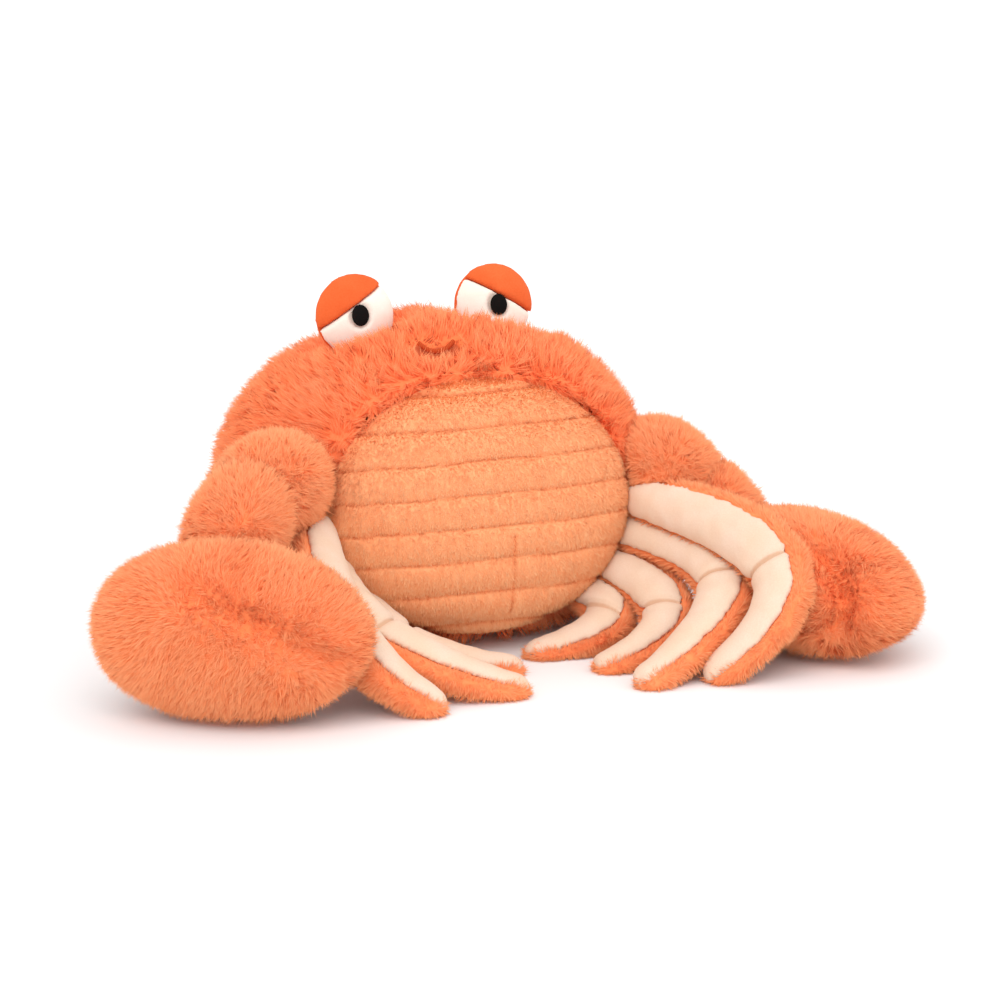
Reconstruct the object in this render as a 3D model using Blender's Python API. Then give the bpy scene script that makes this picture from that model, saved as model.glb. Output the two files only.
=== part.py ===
"""Plush crab that sits upright: a dome of long fur with a ribbed belly panel, two sleepy eyes,
two bent arms with mitten claws, and eight curved legs with a pale lining.

Metres, +Z up. The crab faces -Y and sits on the floor at z = 0. "left" is the viewer's left, -X.
"""
import math

import bmesh
import bpy
from mathutils import Matrix, Vector

# Body: a fur dome that is fuller below its widest level than above it
body_half_width = 0.108
body_half_depth = 0.088
body_half_height = 0.084
body_centre_height = 0.068
body_base_fullness = 0.7
body_segments = 32
body_rings = 20

# Belly panel: a domed disc with sewn channels, leaning back in the front of the body
belly_half_width = 0.70 * body_half_width
belly_half_height = 0.714 * body_half_height
belly_bulge = 0.030
belly_back_depth = 0.008
belly_forward = 0.705 * body_half_depth
belly_centre_height = body_centre_height
belly_lean = math.radians(10)
rib_pitch = 0.0152
rib_relief = 0.0022
rows_per_rib = 4
belly_segments = 24

# Eyes: thick stuffed discs that stand in the fur on top of the body
eye_radius = 0.0198
eye_front_depth = 0.0085
eye_back_depth = 0.0100
eye_half_spacing = 0.0352
eye_centre_back = 0.009
eye_lift = 0.0005
eye_tilt = math.radians(12)
lid_line_height = 0.005
lid_line_slope = math.radians(31)
lid_thickness = 0.0008
pupil_half_width = 0.0046
pupil_half_height = 0.0053
pupil_thickness = 0.0010
eye_segments = 20
eye_rings = 10
pupil_segments = 14
pupil_rings = 6

# Smile: one line of stitches that pulls a dimple into the fur
smile_radius = 0.0110
smile_arc = math.radians(110)
smile_thread = 0.0012
smile_steps = 10
smile_rise = math.radians(65)
smile_turn = math.radians(-13)
dimple_depth = 0.007
dimple_radius = 0.016

# Arms: an upper arm and a forearm, both swollen sleeves, from the shoulder to the claw
shoulder_turn = math.radians(57)
shoulder_rise = math.radians(14)
upper_arm_radius = 0.0255
forearm_radius = 0.0240
elbow_share = 0.52
elbow_lap = 0.45
arm_fullness = 0.54
arm_segments = 16
arm_rings = 10

# Claws: mittens that lie on the floor, with a crease between the two pincers
claw_half_length = 0.0640
claw_half_width = 0.0420
claw_half_thickness = 0.0320
floor_squash = 0.0015
claw_fullness = 0.86
claw_nose_taper = 0.16
pincer_crease_depth = 0.0045
pincer_crease_width = 0.0055
crease_angle = math.radians(80)
crease_start = -0.25
crease_fade = 0.30
claw_segments = 24
claw_rings = 16

# Legs: flattened crescents, fur behind and round the outer edge, pale lining in front
leg_half_width = 0.0155
leg_half_thickness = 0.0120
leg_fullness = 0.42
leg_tip_taper = 0.30
leg_tip_height = 0.0010
lining_outer_angle = math.radians(48)
lining_inner_angle = math.radians(174)
knee_crease = 0.20
knee_crease_length = 0.035
knee_share = 0.47
leg_segments = 10
leg_rings = 12

# Clearance between neighbours that touch, how deep a limb's root starts, and the least sharp edge
seat_gap = 0.0003
root_depth = 0.010
sharp_edge = math.radians(40)

# Pose of each claw: its place from the shoulder, how it is turned, and where the forearm ends on it
claw_poses = {
    "left": {
        "out": 0.055, "forward": 0.082, "elbow": 0.088,
        "turn": math.radians(32), "droop": 0.0, "roll": 0.0, "wrist": (-0.20, 0.50, -0.55),
    },
    "right": {
        "out": 0.057, "forward": 0.072, "elbow": 0.066,
        "turn": math.radians(105), "droop": math.radians(4), "roll": math.radians(85),
        "wrist": (-0.72, 0.05, 0.0),
    },
}

# Pose of each leg, top to bottom: its root on the body, its knee from there and its tip from the knee
leg_poses = {
    "left": (
        {"turn": 48, "rise": -2, "knee": (-0.012, -0.064, -0.028), "tip": (0.038, -0.030), "size": 1.0},
        {"turn": 44, "rise": -15, "knee": (-0.002, -0.052, -0.018), "tip": (0.066, -0.029), "size": 1.0},
        {"turn": 38, "rise": -27, "knee": (0.006, -0.034, -0.014), "tip": (0.056, -0.012), "size": 0.9},
        {"turn": 31, "rise": -38, "knee": (0.000, -0.014, -0.008), "tip": (0.030, 0.002), "size": 0.75},
    ),
    "right": (
        {"turn": 46, "rise": -3, "knee": (0.037, -0.082, -0.014), "tip": (-0.040, -0.012), "size": 1.0},
        {"turn": 44, "rise": -15, "knee": (0.029, -0.054, -0.010), "tip": (-0.061, -0.038), "size": 1.0},
        {"turn": 38, "rise": -25, "knee": (0.016, -0.040, -0.013), "tip": (-0.044, -0.018), "size": 0.85},
        {"turn": 31, "rise": -34, "knee": (0.008, -0.020, -0.008), "tip": (-0.044, -0.004), "size": 0.8},
    ),
}

sides = {"left": -1, "right": 1}

fur_orange = (0.92, 0.22, 0.08, 1)
belly_orange = (0.93, 0.38, 0.17, 1)
suede_orange = (0.93, 0.17, 0.045, 1)
lining_cream = (0.93, 0.69, 0.50, 1)
eye_cream = (0.90, 0.72, 0.57, 1)
pupil_black = (0.015, 0.011, 0.010, 1)


def clear_scene():
    for obj in list(bpy.data.objects):
        bpy.data.objects.remove(obj, do_unlink=True)


def new_collection(name):
    collection = bpy.data.collections.new(name)
    bpy.context.scene.collection.children.link(collection)
    return collection


def fabric(name, colour, roughness):
    material = bpy.data.materials.new(name)
    material.use_nodes = True
    shader = material.node_tree.nodes["Principled BSDF"]
    shader.inputs["Base Color"].default_value = colour
    shader.inputs["Roughness"].default_value = roughness
    shader.inputs["Metallic"].default_value = 0.0
    return material


def face_outward(form):
    bmesh.ops.recalc_face_normals(form, faces=form.faces)
    if form.calc_volume(signed=True) < 0:
        bmesh.ops.reverse_faces(form, faces=form.faces)


def sphere(segments, rings, place):
    """A unit sphere, each of whose points is moved to place(point)."""
    form = bmesh.new()
    bmesh.ops.create_uvsphere(form, u_segments=segments, v_segments=rings, radius=1.0)
    for vertex in form.verts:
        vertex.co = place(vertex.co.copy())
    face_outward(form)
    return form


def slice_off(form, point, normal):
    """Cuts away what lies beyond a plane, on the side its normal points to, and closes the cut."""
    geometry = form.verts[:] + form.edges[:] + form.faces[:]
    cut = bmesh.ops.bisect_plane(
        form, geom=geometry, plane_co=point, plane_no=normal, clear_outer=True
    )
    rim = [item for item in cut["geom_cut"] if isinstance(item, bmesh.types.BMEdge)]
    bmesh.ops.contextual_create(form, geom=rim)
    face_outward(form)


def rest_on_floor(form):
    slice_off(form, (0, 0, 0), (0, 0, -1))


def finish(form, name, collection, material):
    mesh = bpy.data.meshes.new(name)
    form.to_mesh(mesh)
    form.free()
    mesh.shade_smooth()
    mesh.set_sharp_from_angle(angle=sharp_edge)
    obj = bpy.data.objects.new(name, mesh)
    collection.objects.link(obj)
    if material:
        mesh.materials.append(material)
    return obj


def cutter(form, name):
    """A copy of a form that is larger all round by the seat gap, for cutting its neighbours."""
    grown = form.copy()
    grown.normal_update()
    for vertex, normal in [(vertex, vertex.normal.copy()) for vertex in grown.verts]:
        vertex.co += normal * seat_gap
    obj = finish(grown, name, cutters, None)
    obj.hide_render = True
    obj.display_type = "WIRE"
    return obj


def cut(obj, tool):
    modifier = obj.modifiers.new("cut_" + tool.name, "BOOLEAN")
    modifier.operation = "DIFFERENCE"
    modifier.solver = "EXACT"
    modifier.object = tool


def on_body(turn, rise, lift=0.0):
    """Point on the body's skin, turned from the front towards +X and raised from its widest level."""
    spread = math.cos(rise) ** (1.0 if rise > 0 else body_base_fullness)
    return Vector((
        (body_half_width + lift) * spread * math.sin(turn),
        -(body_half_depth + lift) * spread * math.cos(turn),
        body_centre_height + (body_half_height + lift) * math.sin(rise),
    ))


def smile_centre():
    return on_body(smile_turn, smile_rise)


def body_point(direction):
    """Skin point for a direction, with the dimple that the smile pulls in."""
    rise = math.asin(max(-1.0, min(1.0, direction.z)))
    turn = math.atan2(direction.x, -direction.y)
    point = on_body(turn, rise)
    away = (point - smile_centre()).length / dimple_radius
    return on_body(turn, rise, -dimple_depth * math.exp(-away * away))


def belly_place(across, up, out):
    """Point in the belly's leaning frame: across, up along the panel, and out of it."""
    normal = Vector((0, -math.cos(belly_lean), math.sin(belly_lean)))
    rise = Vector((0, math.sin(belly_lean), math.cos(belly_lean)))
    centre = Vector((0, -belly_forward, belly_centre_height))
    return centre + Vector((across, 0, 0)) + rise * up + normal * out


def belly_row_step():
    return rib_pitch / rows_per_rib


def belly_rings():
    return 2 * math.ceil(belly_half_height / belly_row_step())


def belly_point(direction):
    """The panel's rows lie a quarter rib apart, so that each sewn channel runs along a row."""
    row = math.acos(max(-1.0, min(1.0, direction.z))) / math.pi * belly_rings()
    level = (belly_rings() / 2 - round(row)) * belly_row_step()
    level = max(-belly_half_height, min(belly_half_height, level))
    share = math.sqrt(max(0.0, 1 - (level / belly_half_height) ** 2))
    angle = math.atan2(-direction.y, direction.x)
    across = belly_half_width * share * math.cos(angle)
    facing = math.sin(angle)
    if facing <= 0:
        return belly_place(across, level, belly_back_depth * share * facing)
    channel = 1 - math.sqrt(abs(math.cos(math.pi * level / rib_pitch)))
    depth = max(0.0, belly_bulge * share - rib_relief * channel)
    return belly_place(across, level, depth * facing)


def pocket_point(direction):
    """The space that the belly panel fills, open to the front of the body."""
    depth = belly_half_width if direction.y < 0 else belly_back_depth + seat_gap
    return belly_place(
        direction.x * (belly_half_width + seat_gap),
        direction.z * (belly_half_height + seat_gap),
        -direction.y * depth,
    )


def eye_centre(side):
    """An eye stands on the dome's top, in line with its place across the body."""
    share = (eye_half_spacing / body_half_width) ** 2 + (eye_centre_back / body_half_depth) ** 2
    top = body_centre_height + body_half_height * math.sqrt(1 - share)
    return Vector((side * eye_half_spacing, eye_centre_back, top + eye_lift))


def eye_frame(side):
    return Matrix.Translation(eye_centre(side)) @ Matrix.Rotation(-eye_tilt, 4, "X")


def eye_form(depth, grow=0.0):
    """Half of an eye: a shallow dome in front of the seam, or behind it where depth is negative."""
    radius = eye_radius + grow
    reach = abs(depth) + grow
    form = sphere(
        eye_segments, eye_rings,
        lambda point: Vector((point.x * radius, point.y * reach, point.z * radius)),
    )
    slice_off(form, (0, 0, 0), (0, math.copysign(1, depth), 0))
    return form


def lid_normal(side):
    """Upward normal of the lid's lower edge, which falls towards the outer side of the eye."""
    return Vector((side * math.sin(lid_line_slope), 0, math.cos(lid_line_slope)))


def make_eye(label, side):
    line = lid_normal(side) * lid_line_height
    frame = eye_frame(side)
    gap = Vector((0, seat_gap / 2, 0))

    back = eye_form(-eye_back_depth)
    back.transform(frame @ Matrix.Translation(gap))

    white = eye_form(eye_front_depth)
    slice_off(white, line - lid_normal(side) * seat_gap / 2, lid_normal(side))
    white.transform(frame @ Matrix.Translation(-gap))

    lid = eye_form(eye_front_depth, lid_thickness)
    slice_off(lid, line + lid_normal(side) * seat_gap / 2, -lid_normal(side))
    lid.transform(frame @ Matrix.Translation(-gap))

    pupil = sphere(pupil_segments, pupil_rings, pupil_point)
    pupil.transform(frame @ Matrix.Translation(-gap))

    whole = eye_form(eye_front_depth, lid_thickness)
    whole.transform(frame @ Matrix.Translation(-gap))
    sockets = [cutter(back, f"eye_back_space_{label}"), cutter(whole, f"eye_front_space_{label}")]
    whole.free()

    finish(back, f"eye_back_{label}", crab, suede)
    white_obj = finish(white, f"eye_white_{label}", crab, eye_cloth)
    finish(lid, f"eyelid_{label}", crab, suede)
    cut(white_obj, cutter(pupil, f"pupil_space_{label}"))
    finish(pupil, f"pupil_{label}", crab, thread_black)
    return sockets


def pupil_point(point):
    """An oval disc of stitches that follows the dome of the eye."""
    across = point.x * pupil_half_width
    up = point.z * pupil_half_height
    bend = 1 - (across * across + up * up) / eye_radius ** 2
    skin = eye_front_depth * math.sqrt(bend)
    return Vector((across, -skin + point.y * pupil_thickness / 2, up))


def between(start, end, share):
    return start + (end - start) * share


def limb_point(point, start, end, radius, fullness):
    """A swollen sleeve from start to end; a lower fullness keeps its radius nearer to the ends."""
    axis = (end - start).normalized()
    side = axis.cross(Vector((0, 0, 1))).normalized()
    up = side.cross(axis)
    share = math.hypot(point.x, point.y)
    swell = radius * share ** (fullness - 1) if share > 0 else 0.0
    centre = between(start, end, (1 - point.z) / 2)
    return centre + (side * point.x + up * point.y) * swell


def make_limb(start, end, radius):
    return sphere(
        arm_segments, arm_rings,
        lambda point: limb_point(point, start, end, radius, arm_fullness),
    )


def claw_axes(side, pose):
    """A claw's long axis, its breadth and the outward normal of its creased face."""
    along = Vector((-side * math.cos(pose["turn"]), -math.sin(pose["turn"]), -math.tan(pose["droop"])))
    along.normalize()
    face = (Vector((0, 0, 1)).cross(along) * side).normalized()
    face = Matrix.Rotation(-side * pose["roll"], 3, along) @ face
    breadth = along.cross(face) * side
    return along, breadth, face


def claw_centre(side, pose):
    """The claw lies on the floor, pressed a little into its stuffing."""
    along, breadth, face = claw_axes(side, pose)
    shoulder = on_body(side * shoulder_turn, shoulder_rise)
    rest = Vector((
        along.z * claw_half_length, breadth.z * claw_half_width, face.z * claw_half_thickness
    )).length
    return Vector((
        shoulder.x + side * pose["out"], shoulder.y - pose["forward"], rest - floor_squash
    ))


def claw_point(point, side, pose):
    """An oval mitten, a little narrower at the nose, creased from its middle to the nose."""
    along, breadth, face = claw_axes(side, pose)
    ring = math.hypot(point.x, point.y)
    reach = -point.z
    swell = ring ** (claw_fullness - 1) if ring > 0 else 0.0
    swell *= 1 - claw_nose_taper * max(0.0, reach) ** 2
    angle = math.atan2(point.y, point.x)
    away = (angle - crease_angle) * claw_half_width / pincer_crease_width
    run = min(1.0, max(0.0, (reach - crease_start) / crease_fade))
    run *= min(1.0, max(0.0, (1 - reach) / crease_fade))
    pinch = 1 - pincer_crease_depth / claw_half_thickness * math.exp(-away * away) * run
    place = claw_centre(side, pose) + along * reach * claw_half_length
    place += breadth * point.x * swell * pinch * claw_half_width
    return place + face * point.y * swell * pinch * claw_half_thickness


def make_arm(label, side, neighbours):
    pose = claw_poses[label]
    along, breadth, face = claw_axes(side, pose)
    shoulder = on_body(side * shoulder_turn, shoulder_rise, -root_depth)
    wrist = claw_centre(side, pose)
    wrist += along * pose["wrist"][0] * claw_half_length
    wrist += breadth * pose["wrist"][1] * claw_half_width
    wrist += face * pose["wrist"][2] * claw_half_thickness
    elbow = between(shoulder, wrist, elbow_share)
    elbow.z = pose["elbow"]

    upper_end = elbow + (elbow - shoulder).normalized() * upper_arm_radius * elbow_lap
    fore_start = elbow - (wrist - elbow).normalized() * forearm_radius * elbow_lap
    upper = make_limb(shoulder, upper_end, upper_arm_radius)
    fore = make_limb(fore_start, wrist, forearm_radius)
    claw = sphere(claw_segments, claw_rings, lambda point: claw_point(point, side, pose))
    rest_on_floor(claw)

    upper_space = cutter(upper, f"upper_arm_space_{label}")
    fore_space = cutter(fore, f"forearm_space_{label}")
    claw_space = cutter(claw, f"claw_space_{label}")
    upper_obj = finish(upper, f"upper_arm_{label}", crab, fur)
    fore_obj = finish(fore, f"forearm_{label}", crab, fur)
    finish(claw, f"claw_{label}", crab, fur)
    for tool in neighbours:
        cut(upper_obj, tool)
    for tool in neighbours + [upper_space, claw_space]:
        cut(fore_obj, tool)
    return [upper_space, fore_space, claw_space]


def leg_path(side, pose):
    """Root inside the body, knee and tip of a leg; the tip lies on the floor."""
    skin = on_body(side * math.radians(pose["turn"]), math.radians(pose["rise"]))
    to_knee = Vector(pose["knee"])
    knee = skin + to_knee
    root = skin - to_knee.normalized() * root_depth
    tip = Vector((*(knee.xy + Vector(pose["tip"])), leg_tip_height))
    return root, knee, tip


def leg_axis(path, share):
    """Point and direction at a share of the bent axis, a parabola through root, knee and tip."""
    root, knee, tip = path
    pull = knee - root * (1 - knee_share) ** 2 - tip * knee_share ** 2
    pull /= 2 * knee_share * (1 - knee_share)
    point = root * (1 - share) ** 2 + pull * 2 * share * (1 - share) + tip * share ** 2
    direction = (pull - root) * (1 - share) + (tip - pull) * share
    return point, direction.normalized()


def round_section(angle):
    return Vector((math.cos(angle), math.sin(angle)))


def sewn_section(angle, start, stop):
    """Half of the turn follows the leg's outline from start to stop, the other half its seam."""
    if angle < math.pi:
        return round_section(start + (stop - start) * angle / math.pi)
    share = (1 + math.cos(angle)) / 2
    return round_section(stop) * (1 - share) + round_section(start) * share


def lining_section(angle):
    seam = round_section((lining_outer_angle + lining_inner_angle) / 2)
    flat = sewn_section(angle, lining_outer_angle, lining_inner_angle)
    return flat + seam * seat_gap / leg_half_thickness


def fur_section(angle):
    return sewn_section(angle, lining_inner_angle, lining_outer_angle + math.tau)


def leg_point(point, path, size, section):
    """A crescent from root to tip whose section has x towards the outer edge and y in front."""
    root, knee, tip = path
    face = (knee - root).cross(tip - knee).normalized()
    if face.z < 0:
        face = -face
    share = (1 - point.z) / 2
    centre, direction = leg_axis(path, share)
    outer = direction.cross(face).normalized()
    if outer.dot(knee - between(root, tip, knee_share)) < 0:
        outer = -outer
    flat = section(math.atan2(point.y, point.x) % math.tau)
    swell = size * math.hypot(point.x, point.y) ** leg_fullness
    swell *= 1 - leg_tip_taper * max(0.0, share - knee_share) / (1 - knee_share)
    pinch = 1 - knee_crease * math.exp(-((share - knee_share) / knee_crease_length) ** 2)
    width = flat.x * swell * leg_half_width
    return centre + outer * width + face * flat.y * swell * pinch * leg_half_thickness


def leg_form(path, size, section):
    form = sphere(leg_segments, leg_rings, lambda point: leg_point(point, path, size, section))
    rest_on_floor(form)
    return form


def make_leg(label, side, number, neighbours):
    pose = leg_poses[label][number]
    path = leg_path(side, pose)
    lining = leg_form(path, pose["size"], lining_section)
    back = leg_form(path, pose["size"], fur_section)
    spaces = [
        cutter(lining, f"leg_lining_space_{label}_{number + 1}"),
        cutter(back, f"leg_space_{label}_{number + 1}"),
    ]
    back_obj = finish(back, f"leg_{label}_{number + 1}", crab, fur)
    lining_obj = finish(lining, f"leg_lining_{label}_{number + 1}", crab, lining_cloth)
    for tool in neighbours:
        cut(back_obj, tool)
        cut(lining_obj, tool)
    return spaces


def make_body():
    form = sphere(body_segments, body_rings, body_point)
    rest_on_floor(form)
    space = cutter(form, "body_space")
    return finish(form, "body", crab, fur), space


def make_belly(body):
    belly = sphere(belly_segments, belly_rings(), belly_point)
    pocket = finish(sphere(belly_segments, belly_rings(), pocket_point), "belly_pocket", cutters, None)
    pocket.hide_render = True
    pocket.display_type = "WIRE"
    space = cutter(belly, "belly_space")
    finish(belly, "belly_panel", crab, plush)
    cut(body, pocket)
    return space


def thread(points, radius, name, collection):
    """A closed-ended tube along a line of stitches, as a mesh."""
    curve = bpy.data.curves.new(name, "CURVE")
    curve.dimensions = "3D"
    curve.bevel_depth = radius
    curve.bevel_resolution = 2
    curve.use_fill_caps = True
    spline = curve.splines.new("POLY")
    spline.points.add(len(points) - 1)
    for item, point in zip(spline.points, points):
        item.co = (*point, 1)
    line = bpy.data.objects.new(name + "_line", curve)
    collection.objects.link(line)
    graph = bpy.context.evaluated_depsgraph_get()
    mesh = bpy.data.meshes.new_from_object(line.evaluated_get(graph))
    bpy.data.objects.remove(line, do_unlink=True)
    form = bmesh.new()
    form.from_mesh(mesh)
    bpy.data.meshes.remove(mesh)
    bmesh.ops.remove_doubles(form, verts=form.verts, dist=radius / 20)
    face_outward(form)
    return form


def smile_point(angle):
    """A point of the smile's arc on the dimpled skin; angle 0 is its lowest point."""
    across = smile_radius * math.sin(angle)
    up = smile_radius * (1 - math.cos(angle))
    rise = smile_rise + up / body_half_height
    turn = smile_turn + across / (body_half_width * math.cos(rise))
    spread = math.cos(rise)
    return body_point(Vector((
        spread * math.sin(turn), -spread * math.cos(turn), math.sin(rise)
    )))


def make_smile(body):
    points = [
        smile_point(smile_arc * (step / smile_steps - 0.5)) for step in range(smile_steps + 1)
    ]
    stitches = thread(points, smile_thread, "smile", crab)
    cut(body, cutter(stitches, "smile_space"))
    finish(stitches, "smile", crab, suede)


def centre_on_floor():
    """Brings the middle of the whole object's plan over the origin."""
    corners = [vertex.co for obj in crab.objects for vertex in obj.data.vertices]
    for axis in (0, 1):
        values = [corner[axis] for corner in corners]
        middle = (min(values) + max(values)) / 2
        for obj in list(crab.objects) + list(cutters.objects):
            obj.location[axis] -= middle


clear_scene()
crab = new_collection("plush_crab")
cutters = new_collection("cutters")
fur = fabric("fur", fur_orange, 0.95)
plush = fabric("belly_plush", belly_orange, 0.95)
suede = fabric("suede", suede_orange, 0.85)
lining_cloth = fabric("lining", lining_cream, 0.85)
eye_cloth = fabric("eye_cloth", eye_cream, 0.85)
thread_black = fabric("pupil_thread", pupil_black, 0.55)

body, body_space = make_body()
belly_space = make_belly(body)
make_smile(body)
for label, side in sides.items():
    for socket in make_eye(label, side):
        cut(body, socket)
    spaces = [body_space, belly_space]
    spaces += make_arm(label, side, spaces)
    for number in range(len(leg_poses[label])):
        spaces += make_leg(label, side, number, spaces)
centre_on_floor()
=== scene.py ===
"""Looks of the plush crab: shaggy fur on the body, shorter fur on arms, claws and legs, a ribbed
plush belly, suedette eyes and leg linings and embroidered pupils, on a plain white studio floor."""
import math
from dataclasses import dataclass, replace

import bpy
import numpy as np
from mathutils import Matrix, Vector, noise
from mathutils.bvhtree import BVHTree
from mathutils.kdtree import KDTree


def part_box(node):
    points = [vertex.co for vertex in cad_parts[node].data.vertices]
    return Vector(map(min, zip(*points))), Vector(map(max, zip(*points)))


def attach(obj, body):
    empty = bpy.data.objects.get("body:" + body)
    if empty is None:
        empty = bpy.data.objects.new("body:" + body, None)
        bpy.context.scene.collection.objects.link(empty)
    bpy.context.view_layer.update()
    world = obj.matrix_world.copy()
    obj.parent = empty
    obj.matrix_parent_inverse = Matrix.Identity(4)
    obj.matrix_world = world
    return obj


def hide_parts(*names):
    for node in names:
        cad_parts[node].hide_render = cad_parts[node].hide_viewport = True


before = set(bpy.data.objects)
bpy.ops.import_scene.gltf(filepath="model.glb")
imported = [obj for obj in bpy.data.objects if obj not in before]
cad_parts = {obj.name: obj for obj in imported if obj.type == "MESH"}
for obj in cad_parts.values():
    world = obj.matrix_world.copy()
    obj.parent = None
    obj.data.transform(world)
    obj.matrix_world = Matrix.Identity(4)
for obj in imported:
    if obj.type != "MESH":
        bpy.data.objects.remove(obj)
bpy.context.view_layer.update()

sides = ("left", "right")
legs_a_side = 4
up = np.array((0.0, 0.0, 1.0))

# Body's centre on the floor, from its widest level in the model
body_half_depth = 0.088
body_low, body_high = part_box("body")
body_x = (body_low.x + body_high.x) / 2
body_y = body_high.y - body_half_depth

# Belly: the size and lean of its panel, its sewn channels and the short seam across the lower ones
belly_half_width = 0.0756
belly_half_height = 0.060
belly_lean = math.radians(10)
belly_forward = 0.062
belly_centre_height = 0.068
rib_pitch = 0.0152
channel_wave_pitch = 0.03
channel_wave = 0.0009
channel_half_width = 0.0008
channel_depth = 0.0010
seam_across = 0.006
seam_top = -0.012
seam_bottom = -0.050
seam_share = 0.85
rim_start = 0.93

# Smile: stitches in a dip of short fur, with a mound over them
smile_inset = 0.0040
smile_half_width = 0.0028
smile_dip = 0.0014
smile_trim = 0.92
smile_sink = 0.0018
mound_rise = 0.010
mound_radius = 0.009
mound_height = 0.0045

# Eyes: sockets in the fur round them, and the hollow under a stitched pupil
eye_clear = 0.020
eye_trim = 0.22
socket_radius = 0.012
socket_depth = 0.0055
seat_depth = 0.0016
seat_reach = 0.0015

# Claws: the sewn line between the two pincers, from the claw's middle
pincer_lines = {
    "left": (
        (-0.026, -0.013, 0.024), (-0.009, -0.028, 0.013), (0.012, -0.039, 0.002), (0.031, -0.043, -0.009),
    ),
    "right": (
        (-0.008, -0.027, 0.024), (-0.008, -0.043, 0.016), (-0.010, -0.054, 0.003), (-0.012, -0.051, -0.012),
    ),
}
pincer_depths = {"left": 0.0058, "right": 0.0100}
pincer_half_width = 0.0066

# Legs: a blunt toe, and a lining with stitches across the knee and the puckers of hand sewing
toe_reach = 0.012
back_toe_fullness = 0.0024
lining_toe_fullness = 0.0022
lining_lift = 0.0005
knee_sample = 12
knee_depth = 0.0022
knee_half_width = 0.0018
pucker_pitch = 0.007
pucker_depth = 0.0004
face_reach = 0.008
face_fullness = 0.0014

# Comb of the body's fur: from a point in the belly, down behind, turned over the belly's rim
comb_start = np.array((body_x, body_y - 0.10, 0.05))
comb_reach = 0.09
back_fall = 1.6
rim_turn = 1.7
rim_reach = 0.007
smile_part_reach = 0.006

# Comb of arms, claws and legs: away from a whorl or a parting on the front, or straight backward
whorl_forward = np.array((-0.006, -0.016, 0.004))
whorl_reach = 0.025
parting_share = 0.6
leg_comb = (0.0, 1.0, -0.2)

# How far off neighbours and the floor count, when fur is laid and skins are drawn in
floor_clearance = 0.0002
seat_height = 0.0060
seat_slope = -0.8
hidden_reach = 0.0010
contact_start = 0.0020
contact_reach = 0.0012
hollow_rounds = 12
weld_reach = 0.00002

# Chance in the fur: lengths, leans, strays and twists
swirl_pitch = 0.018
full_heading = 0.7
upright_share = 0.8
clump_length_spread = 0.12
length_range = (0.75, 1.15)
width_range = (0.7, 1.3)
hollow_length_range = (0.35, 1.1)
hollow_depth = 0.004
lean_spread = math.radians(9)
twist_spread = math.radians(22)
stray_spread = 0.15
shortest_share = 0.4
root_sink = 0.0006

# Blades: half their thickness, where an inner face starts, and their places on the colour map
half_blade = 0.00003
far_limit = 0.1
inner_skin_share = 1.2
tone_step = 0.004
root_level = 0.12
tip_level = 0.98
blade_tone_limits = (0.03, 0.97)
clump_tone_spread = 0.10
blade_tone_spread = 0.13

# Bare skin between the blades: its places on the colour map, low on the blade where the roots' painted
# shade is
skin_tone_limits = (0.05, 0.95)
skin_level = 0.38
skin_level_spread = 0.08
skin_level_pitch = 0.004

# Shade of the fur on the colour map: its middle, its changes over the skin, and the painted shadow that
# darkens it
patch_pitch = 0.02
smile_shadow = 0.7
smile_shadow_edge = 3
belly_middle = 0.58
belly_patches = 0.08
belly_streaks = 0.26
streak_pitch = 0.0022
streak_stretch = np.array((1.0, 1.0, 0.25))
belly_line_shadow = 0.62
belly_rim_shadow = 0.45

# Camera: seen from the crab's left front, a little above the floor
camera_turn = math.radians(-22)
camera_rise = math.radians(14.3)
camera_distance = 1.7
toward_camera = np.array((
    math.sin(camera_turn) * math.cos(camera_rise),
    -math.cos(camera_turn) * math.cos(camera_rise),
    math.sin(camera_rise),
))
picture_width = 0.45
sensor_width = 36
aim_forward = 0.148
aim_across = -0.0225
aim_up = 0.0882

# Light: an even white surround and two wide soft lamps
surround_strength = 0.95
key_strength = 1.1
key_angle = math.radians(50)
key_place = (-0.5, -0.8, 1.1)
fill_strength = 0.4
fill_angle = math.radians(90)
fill_place = (0.9, -0.7, 0.5)
floor_size = 8.0


@dataclass
class Pile:
    """How fur stands on a skin, in metres and radians."""
    count: int
    length: float
    width: float
    lean: float
    bend: float
    sag: float
    per_clump: int
    pull: float
    wander: float
    inset: float
    spread: float
    skin_share: float


body_pile = Pile(
    count=101000, length=0.0085, width=0.00056, lean=math.radians(48), bend=0.35, sag=0.10,
    per_clump=10, pull=0.28, wander=0.80, inset=0.0044, spread=1.6, skin_share=0.8,
)
arm_pile = Pile(
    count=21500, length=0.0056, width=0.00047, lean=math.radians(62), bend=0.0, sag=0.0,
    per_clump=6, pull=0.12, wander=0.45, inset=0.0024, spread=2.0, skin_share=0.8,
)
claw_pile = replace(arm_pile, count=66000, length=0.0052, width=0.00044, inset=0.0026)
leg_pile = Pile(
    count=10500, length=0.0036, width=0.00050, lean=math.radians(50), bend=0.0, sag=0.0,
    per_clump=5, pull=0.12, wander=0.30, inset=0.0001, spread=0.6, skin_share=1.6,
)
belly_pile = Pile(
    count=104000, length=0.0018, width=0.00036, lean=math.radians(50), bend=0.0, sag=0.0,
    per_clump=5, pull=0.25, wander=0.12, inset=0.0009, spread=0.6, skin_share=0.6,
)


@dataclass
class Skin:
    """How finely a cushion's skin is meshed, in metres, and in how many rounds it is smoothed."""
    mesh_size: float
    rounds: int


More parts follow.
